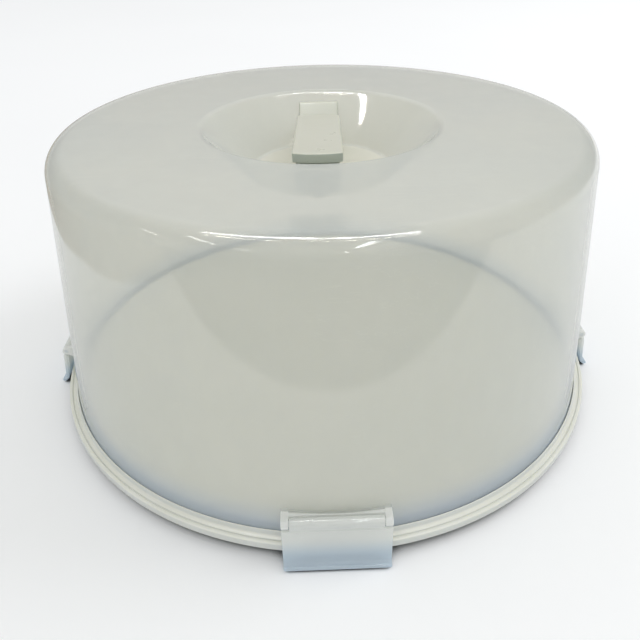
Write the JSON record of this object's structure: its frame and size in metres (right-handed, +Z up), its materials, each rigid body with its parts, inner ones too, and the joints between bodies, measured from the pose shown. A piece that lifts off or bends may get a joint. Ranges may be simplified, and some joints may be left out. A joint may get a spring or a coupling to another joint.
{
  "type": "cake carrier",
  "caption": "Round cake carrier: cream tray on a foot ring, lift-off milky translucent dome with a recessed bar handle, and swing clips round the rim that hook under it.",
  "frame": {"origin": "centre of the foot ring, on the surface the carrier stands on", "axes": "+Z up along the dome's centre line; -Y towards the front clip; +X to the right"},
  "size_m": [0.3416, 0.3416, 0.1574],
  "materials": {
    "cream_plastic": "cream polypropylene, satin gloss",
    "translucent_plastic": "milky natural polypropylene, glossy",
    "clip_plastic": "milky natural polypropylene, glossy",
    "pin_plastic": "natural polypropylene rod",
    "screw_steel": "plain stainless steel"
  },
  "bodies": {
    "tray": {"tray": "cream_plastic"},
    "dome": {"dome": "translucent_plastic", "handle": "cream_plastic", "handle_screw_front": "screw_steel", "handle_screw_rear": "screw_steel", "clip_pin_front": "pin_plastic", "clip_pin_right": "pin_plastic", "clip_pin_rear": "pin_plastic", "clip_pin_left": "pin_plastic"},
    "clip_front": {"clip_front": "clip_plastic"},
    "clip_right": {"clip_right": "clip_plastic"},
    "clip_rear": {"clip_rear": "clip_plastic"},
    "clip_left": {"clip_left": "clip_plastic"}
  },
  "joints": [
    {"name": "dome_lift", "type": "slide", "parent": "tray", "child": "dome", "axis": [0, 0, 1], "range_m": [0, 0.2]},
    {"name": "clip_front_hinge", "type": "hinge", "parent": "dome", "child": "clip_front", "pos_m": [0, -0.1629, 0.0252], "axis": [-1, 0, 0], "range_deg": [0, 135]},
    {"name": "clip_right_hinge", "type": "hinge", "parent": "dome", "child": "clip_right", "pos_m": [0.1629, 0, 0.0252], "axis": [0, -1, 0], "range_deg": [0, 135]},
    {"name": "clip_rear_hinge", "type": "hinge", "parent": "dome", "child": "clip_rear", "pos_m": [0, 0.1629, 0.0252], "axis": [1, 0, 0], "range_deg": [0, 135]},
    {"name": "clip_left_hinge", "type": "hinge", "parent": "dome", "child": "clip_left", "pos_m": [-0.1629, 0, 0.0252], "axis": [0, 1, 0], "range_deg": [0, 135]}
  ]
}
